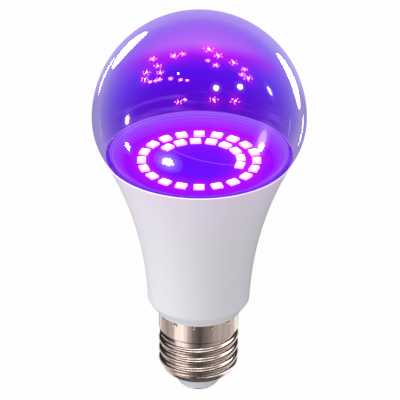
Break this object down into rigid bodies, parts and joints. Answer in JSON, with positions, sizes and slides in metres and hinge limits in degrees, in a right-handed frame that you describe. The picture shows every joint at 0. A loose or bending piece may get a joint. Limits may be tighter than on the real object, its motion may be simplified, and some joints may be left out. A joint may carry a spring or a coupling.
{
  "type": "uv led bulb",
  "caption": "Screw-in ultraviolet light bulb with a clear round dome over a ring of diodes, a flared white plastic housing, and a threaded metal cap with a centre contact.",
  "frame": {"origin": "middle of the centre contact's face, the lowest point of the bulb", "axes": "+Z along the bulb's axis from the cap to the dome, -Y is the front, +X is to the right seen from the front"},
  "size_m": [0.07, 0.07, 0.1338],
  "materials": {
    "dome_clear": "clear moulded polycarbonate, polished, lit violet from inside",
    "silicone": "white silicone adhesive",
    "housing_white": "satin white moulded plastic",
    "aluminium_sheet": "deep-drawn mill finish sheet",
    "board_white": "white solder mask on an aluminium core",
    "led_body": "white moulded diode package",
    "led_window": "clear silicone window over a lit ultraviolet chip",
    "solder": "bright tin solder",
    "cap_nickel": "nickel-plated brass sheet, rolled and slightly satin",
    "insulator_white": "white moulded insulator",
    "contact_nickel": "nickel-plated contact rivet",
    "board_green": "green solder mask on glass-fibre board",
    "can_aluminium": "aluminium can",
    "ferrite": "sintered ferrite",
    "enamelled_copper": "enamelled copper wire winding",
    "film_epoxy": "dipped epoxy",
    "resistor_ceramic": "coated ceramic body",
    "shrink_sleeve": "black heat-shrink sleeve",
    "chip_black": "black moulded epoxy package",
    "wire_red": "red wire insulation",
    "wire_black": "black wire insulation",
    "wire_white": "white silicone wire insulation"
  },
  "bodies": {
    "root": {"dome": "dome_clear", "dome_adhesive": "silicone", "housing": "housing_white", "heat_sink_cup": "aluminium_sheet", "led_board": "board_white", "outer_led_packages": "led_body", "outer_led_windows": "led_window", "inner_led_packages": "led_body", "inner_led_windows": "led_window", "led_board_solder": "solder", "screw_shell": "cap_nickel", "cap_insulator": "insulator_white", "centre_contact": "contact_nickel", "driver_board": "board_green", "input_capacitor": "can_aluminium", "output_capacitor": "can_aluminium", "choke_core": "ferrite", "choke_winding": "enamelled_copper", "film_capacitor": "film_epoxy", "fuse_resistor": "resistor_ceramic", "fuse_sleeve": "shrink_sleeve", "bridge_rectifier": "chip_black", "driver_chip": "chip_black", "output_diode": "chip_black", "chip_resistors": "resistor_ceramic", "solder_joints": "solder", "live_wire": "wire_red", "neutral_wire": "wire_black", "led_lead_positive": "wire_white", "led_lead_negative": "wire_white"}
  },
  "joints": []
}
